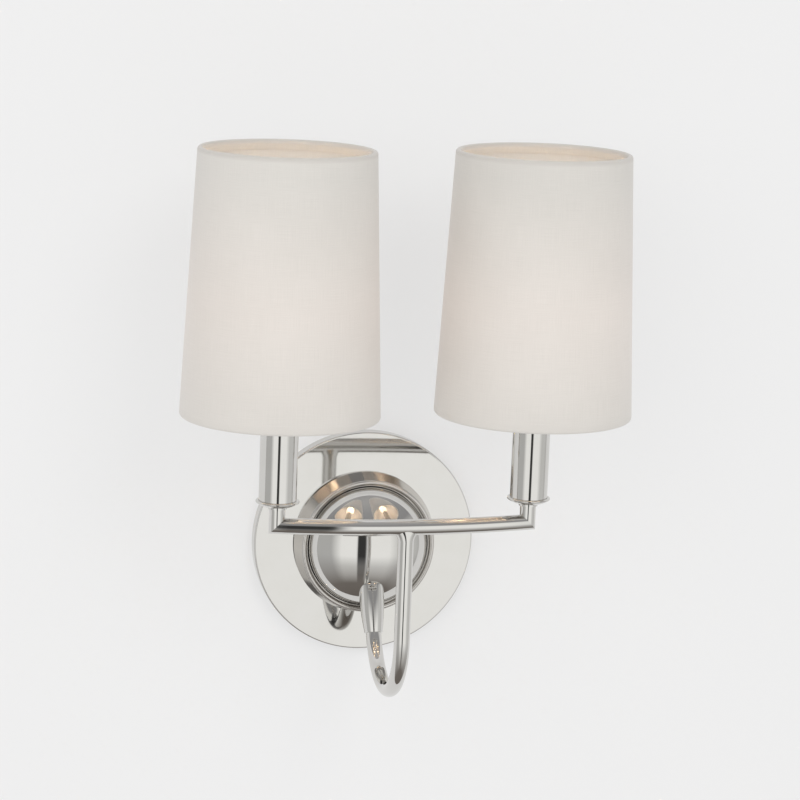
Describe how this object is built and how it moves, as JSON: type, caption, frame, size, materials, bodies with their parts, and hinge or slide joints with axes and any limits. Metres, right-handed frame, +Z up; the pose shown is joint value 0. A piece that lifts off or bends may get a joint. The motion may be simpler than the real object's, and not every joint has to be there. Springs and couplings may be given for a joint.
{
  "type": "double arm wall sconce",
  "caption": "Polished nickel wall sconce: round backplate with collar and dome, hooked arm, bowed cross tube, candle sleeves and tapered linen drum shades.",
  "frame": {"origin": "on the wall plane, at the centre of the backplate and of the bracket behind it", "axes": "+X to the right seen from the room, +Y into the wall, +Z up; the sconce stands out along -Y"},
  "size_m": [0.2674, 0.1732, 0.3339],
  "materials": {
    "polished_nickel": "mirror-polished nickel plate",
    "sleeve_nickel": "polished nickel plate on thin steel",
    "zinc_steel": "zinc-plated steel",
    "ground_green": "green plated screw",
    "brass": "bare brass",
    "socket_phenolic": "moulded phenolic",
    "bulb_glass": "clear",
    "lit_filament": "lit warm white",
    "frame_wire": "nickel-plated wire",
    "shade_linen": "off-white linen on a stiff liner"
  },
  "bodies": {
    "sconce": {"wall_bracket": "zinc_steel", "ground_screw": "ground_green", "hanger_clip": "zinc_steel", "lock_screw": "polished_nickel", "hub_screws": "zinc_steel", "backplate": "polished_nickel", "collar_ring": "polished_nickel", "dome": "polished_nickel", "hub_block": "brass", "arm_set_screw": "zinc_steel", "arm_ferrule": "polished_nickel", "hook_arm": "polished_nickel", "cross_tube": "polished_nickel", "riser_left": "polished_nickel", "dish_left": "polished_nickel", "socket_nipple_left": "brass", "socket_post_left": "zinc_steel", "socket_body_left": "socket_phenolic", "socket_shell_left": "brass", "socket_contact_left": "brass", "candle_sleeve_left": "sleeve_nickel", "riser_right": "polished_nickel", "dish_right": "polished_nickel", "socket_nipple_right": "brass", "socket_post_right": "zinc_steel", "socket_body_right": "socket_phenolic", "socket_shell_right": "brass", "socket_contact_right": "brass", "candle_sleeve_right": "sleeve_nickel"},
    "bulb_left": {"bulb_base_left": "brass", "bulb_glass_left": "bulb_glass", "bulb_filament_left": "lit_filament"},
    "clip_left": {"bulb_clip_left": "frame_wire", "clip_rivet_left": "frame_wire"},
    "shade_left": {"shade_frame_left": "frame_wire", "shade_bottom_ring_left": "frame_wire", "shade_skin_left": "shade_linen"},
    "bulb_right": {"bulb_base_right": "brass", "bulb_glass_right": "bulb_glass", "bulb_filament_right": "lit_filament"},
    "clip_right": {"bulb_clip_right": "frame_wire", "clip_rivet_right": "frame_wire"},
    "shade_right": {"shade_frame_right": "frame_wire", "shade_bottom_ring_right": "frame_wire", "shade_skin_right": "shade_linen"}
  },
  "joints": [
    {"name": "bulb_thread_left", "type": "hinge", "parent": "sconce", "child": "bulb_left", "pos_m": [-0.0755, -0.115, 0.125], "axis": [0, 0, 1], "range_deg": [0, 1260]},
    {"name": "clip_lift_left", "type": "slide", "parent": "bulb_left", "child": "clip_left", "axis": [0, 0, 1], "range_m": [0, 0.105]},
    {"name": "shade_turn_left", "type": "hinge", "parent": "clip_left", "child": "shade_left", "pos_m": [-0.0755, -0.115, 0.2175], "axis": [0, 0, 1], "continuous": true},
    {"name": "bulb_thread_right", "type": "hinge", "parent": "sconce", "child": "bulb_right", "pos_m": [0.0755, -0.115, 0.125], "axis": [0, 0, 1], "range_deg": [0, 1260]},
    {"name": "clip_lift_right", "type": "slide", "parent": "bulb_right", "child": "clip_right", "axis": [0, 0, 1], "range_m": [0, 0.105]},
    {"name": "shade_turn_right", "type": "hinge", "parent": "clip_right", "child": "shade_right", "pos_m": [0.0755, -0.115, 0.2175], "axis": [0, 0, 1], "continuous": true}
  ]
}
